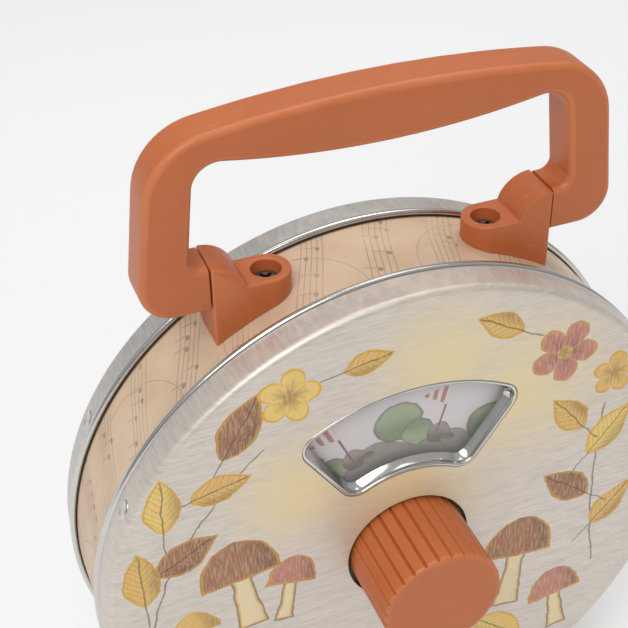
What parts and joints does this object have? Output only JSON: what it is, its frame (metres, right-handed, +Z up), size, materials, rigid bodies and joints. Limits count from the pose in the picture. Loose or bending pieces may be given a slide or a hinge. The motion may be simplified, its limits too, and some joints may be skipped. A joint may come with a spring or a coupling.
{
  "type": "wind-up music tin",
  "caption": "Round tin music toy with a fluted winding knob, a picture disc behind a window, a clockwork comb movement and a swinging carry handle.",
  "frame": {"origin": "on the ground below the middle of the tin, at the middle of the whole object's depth", "axes": "+Z up through the handle, -Y out of the face with the knob, +X to the right as seen from the front"},
  "size_m": [0.13, 0.052, 0.165],
  "materials": {
    "lid_tin": "printed satin",
    "back_tin": "satin",
    "band_tin": "printed satin",
    "clear_sheet": "clear",
    "moulding": "satin",
    "clamp_plastic": "matte",
    "disc_card": "printed",
    "steel": "plain",
    "spring_steel": "blued",
    "brass": "plain",
    "block_iron": "plain"
  },
  "bodies": {
    "case": {"front_lid": "lid_tin", "rear_lid": "back_tin", "side_band": "band_tin", "window_lens": "clear_sheet", "bracket_left": "moulding", "bracket_right": "moulding", "clamp_left": "clamp_plastic", "clamp_right": "clamp_plastic", "front_plate": "brass", "rear_plate": "brass", "plate_pillars": "steel", "mounting_posts": "steel", "mainspring": "spring_steel", "tone_comb": "spring_steel", "comb_block": "block_iron"},
    "handle": {"carry_handle": "moulding"},
    "winder": {"winding_knob": "moulding", "winding_arbor": "steel", "picture_disc": "disc_card", "great_wheel": "brass"},
    "cylinder": {"pin_cylinder": "brass"}
  },
  "joints": [
    {"name": "handle_swing", "type": "hinge", "parent": "case", "child": "handle", "pos_m": [0, 0.0085, 0.1313], "axis": [1, 0, 0], "range_deg": [-110, 110]},
    {"name": "knob_turn", "type": "hinge", "parent": "case", "child": "winder", "pos_m": [0, 0.0085, 0.065], "axis": [0, 1, 0], "range_deg": [0, 1530], "stiffness_Nm_per_rad": 0.002},
    {"name": "cylinder_turn", "type": "hinge", "parent": "case", "child": "cylinder", "pos_m": [0, 0.0085, 0.0338], "axis": [0, 1, 0], "range_deg": [-4590, 0]}
  ],
  "couplings": [
    {"joint": "cylinder_turn", "follows": "knob_turn", "ratio": -3}
  ]
}
